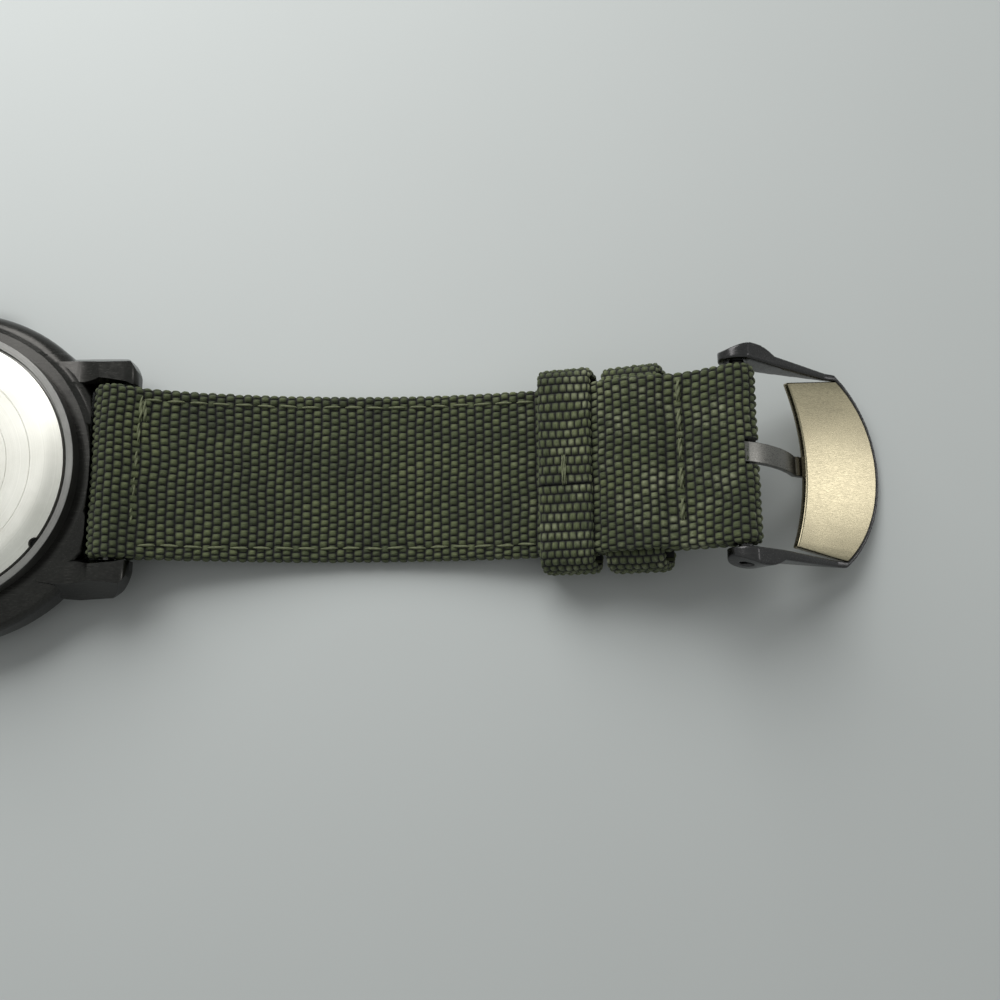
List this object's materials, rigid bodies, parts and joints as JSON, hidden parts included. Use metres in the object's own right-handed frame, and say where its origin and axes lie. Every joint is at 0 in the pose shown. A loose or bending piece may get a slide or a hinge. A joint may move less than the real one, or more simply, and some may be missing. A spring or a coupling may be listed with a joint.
{
  "type": "field watch",
  "caption": "Analogue field watch lying face down: dark coated case with lugs, press-fit steel back, quartz movement, sewn two-layer woven strap, keepers and a wide-plate pin buckle.",
  "frame": {"origin": "centre of the crystal's outer face, on which the watch lies", "axes": "+X along the strap towards the buckle half, +Y towards the crown, +Z from the dial towards the case back (the wrist side)"},
  "size_m": [0.2325, 0.0419, 0.0314],
  "materials": {
    "coated_case": "dark coated steel, brushed",
    "coated_buckle": "dark coated steel, satin",
    "satin_steel": "satin",
    "case_back_steel": "turned, fine concentric satin",
    "plate_steel": "brushed, slightly warm",
    "battery_steel": "bright",
    "soft_iron": "plain",
    "magnet": "plain",
    "crystal": "polished mineral glass",
    "seal": "soft",
    "dial_black": "matt black paint",
    "hand_white": "luminous paint",
    "hand_orange": "gloss paint",
    "holder_plastic": "moulded",
    "board": "solder mask",
    "plated_brass": "nickel plated",
    "gear_brass": "plain",
    "copper_wire": "enamelled copper wire",
    "woven_strap": "woven nylon",
    "woven_keeper": "woven nylon"
  },
  "bodies": {
    "case": {"case_middle": "coated_case", "bezel": "coated_case", "case_liner": "satin_steel", "case_back": "case_back_steel", "crystal": "crystal", "crystal_gasket": "seal", "case_back_gasket": "seal", "dial_ring": "dial_black", "dial": "dial_black", "movement_holder": "holder_plastic", "main_plate": "plated_brass", "train_bridge": "plated_brass", "stator": "soft_iron", "coil_core": "soft_iron", "coil_winding": "copper_wire", "circuit_board": "board", "quartz_can": "satin_steel", "battery": "battery_steel", "battery_clip": "battery_steel", "movement_screws": "battery_steel", "crown_tube": "satin_steel", "buckle_side_bar_tube": "satin_steel", "tail_side_bar_tube": "satin_steel", "bar_springs": "satin_steel"},
    "seconds_train": {"seconds_wheel": "gear_brass", "seconds_hand": "hand_orange"},
    "third_wheel": {"third_wheel": "gear_brass"},
    "minute_train": {"centre_wheel": "gear_brass", "minute_hand": "hand_white"},
    "minute_wheel": {"minute_wheel": "gear_brass"},
    "hour_train": {"hour_wheel": "gear_brass", "hour_hand": "hand_white"},
    "intermediate_wheel": {"intermediate_wheel": "gear_brass"},
    "rotor": {"rotor": "magnet"},
    "clutch": {"clutch_pinion": "satin_steel"},
    "crown": {"crown": "coated_case", "crown_gasket": "seal", "stem": "satin_steel"},
    "buckle_side_crown_pin": {"buckle_side_crown_pin": "satin_steel"},
    "buckle_side_plain_pin": {"buckle_side_plain_pin": "satin_steel"},
    "tail_side_crown_pin": {"tail_side_crown_pin": "satin_steel"},
    "tail_side_plain_pin": {"tail_side_plain_pin": "satin_steel"},
    "buckle_strap": {"buckle_strap_lining": "woven_strap", "buckle_strap_outer": "woven_strap", "fixed_keeper": "woven_keeper"},
    "tail_strap": {"tail_strap_lining": "woven_strap", "tail_strap_outer": "woven_strap"},
    "floating_keeper": {"floating_keeper": "woven_keeper"},
    "buckle": {"buckle_frame": "coated_buckle", "buckle_plate": "plate_steel", "buckle_pin": "coated_buckle"},
    "tongue": {"buckle_tongue": "coated_buckle"}
  },
  "joints": [
    {"name": "seconds_turn", "type": "hinge", "parent": "case", "child": "seconds_train", "pos_m": [0, 0, 0.00515], "axis": [0, 0, 1], "continuous": true},
    {"name": "third_turn", "type": "hinge", "parent": "case", "child": "third_wheel", "pos_m": [-0.00222, 0.00284, 0.00515], "axis": [0, 0, 1], "continuous": true},
    {"name": "minute_turn", "type": "hinge", "parent": "case", "child": "minute_train", "pos_m": [0, 0, 0.00515], "axis": [0, 0, 1], "continuous": true},
    {"name": "minute_wheel_turn", "type": "hinge", "parent": "case", "child": "minute_wheel", "pos_m": [0.003, 0, 0.00515], "axis": [0, 0, 1], "continuous": true},
    {"name": "hour_turn", "type": "hinge", "parent": "case", "child": "hour_train", "pos_m": [0, 0, 0.00515], "axis": [0, 0, 1], "continuous": true},
    {"name": "intermediate_turn", "type": "hinge", "parent": "case", "child": "intermediate_wheel", "pos_m": [0.0025, -0.0025, 0.00515], "axis": [0, 0, 1], "continuous": true},
    {"name": "rotor_turn", "type": "hinge", "parent": "case", "child": "rotor", "pos_m": [0.00423, -0.00423, 0.00515], "axis": [0, 0, 1], "continuous": true},
    {"name": "crown_turn", "type": "hinge", "parent": "case", "child": "clutch", "pos_m": [0, 0.0084, 0.00515], "axis": [0, 1, 0], "continuous": true},
    {"name": "crown_pull", "type": "slide", "parent": "clutch", "child": "crown", "axis": [0, 1, 0], "range_m": [0, 0.001]},
    {"name": "buckle_side_crown_pin_press", "type": "slide", "parent": "case", "child": "buckle_side_crown_pin", "axis": [0, -1, 0], "range_m": [0, 0.00085], "stiffness_N_per_m": 300, "springref_m": -0.0015},
    {"name": "buckle_side_plain_pin_press", "type": "slide", "parent": "case", "child": "buckle_side_plain_pin", "axis": [0, 1, 0], "range_m": [0, 0.00085], "stiffness_N_per_m": 300, "springref_m": -0.0015},
    {"name": "tail_side_crown_pin_press", "type": "slide", "parent": "case", "child": "tail_side_crown_pin", "axis": [0, -1, 0], "range_m": [0, 0.00085], "stiffness_N_per_m": 300, "springref_m": -0.0015},
    {"name": "tail_side_plain_pin_press", "type": "slide", "parent": "case", "child": "tail_side_plain_pin", "axis": [0, 1, 0], "range_m": [0, 0.00085], "stiffness_N_per_m": 300, "springref_m": -0.0015},
    {"name": "buckle_strap_swing", "type": "hinge", "parent": "case", "child": "buckle_strap", "pos_m": [0.0189, 0, 0.00645], "axis": [0, -1, 0], "range_deg": [-35, 75]},
    {"name": "tail_strap_swing", "type": "hinge", "parent": "case", "child": "tail_strap", "pos_m": [-0.0189, 0, 0.00645], "axis": [0, 1, 0], "range_deg": [-35, 75]},
    {"name": "keeper_slide", "type": "hinge", "parent": "buckle_strap", "child": "floating_keeper", "pos_m": [0.04856, 0, 0.086], "axis": [0, -1, 0], "range_deg": [-28, 0]},
    {"name": "buckle_swing", "type": "hinge", "parent": "buckle_strap", "child": "buckle", "pos_m": [0.0887, 0, 0.01215], "axis": [0, -1, 0], "range_deg": [-12, 60]},
    {"name": "tongue_swing", "type": "hinge", "parent": "buckle", "child": "tongue", "pos_m": [0.0887, 0, 0.01215], "axis": [0, -1, 0], "range_deg": [-55, 0]}
  ],
  "couplings": [
    {"joint": "third_turn", "follows": "seconds_turn", "ratio": -0.13333},
    {"joint": "minute_turn", "follows": "seconds_turn", "ratio": 0.016667},
    {"joint": "minute_wheel_turn", "follows": "seconds_turn", "ratio": -0.0055556},
    {"joint": "hour_turn", "follows": "seconds_turn", "ratio": 0.0013889},
    {"joint": "intermediate_turn", "follows": "seconds_turn", "ratio": -6},
    {"joint": "rotor_turn", "follows": "seconds_turn", "ratio": 30}
  ]
}
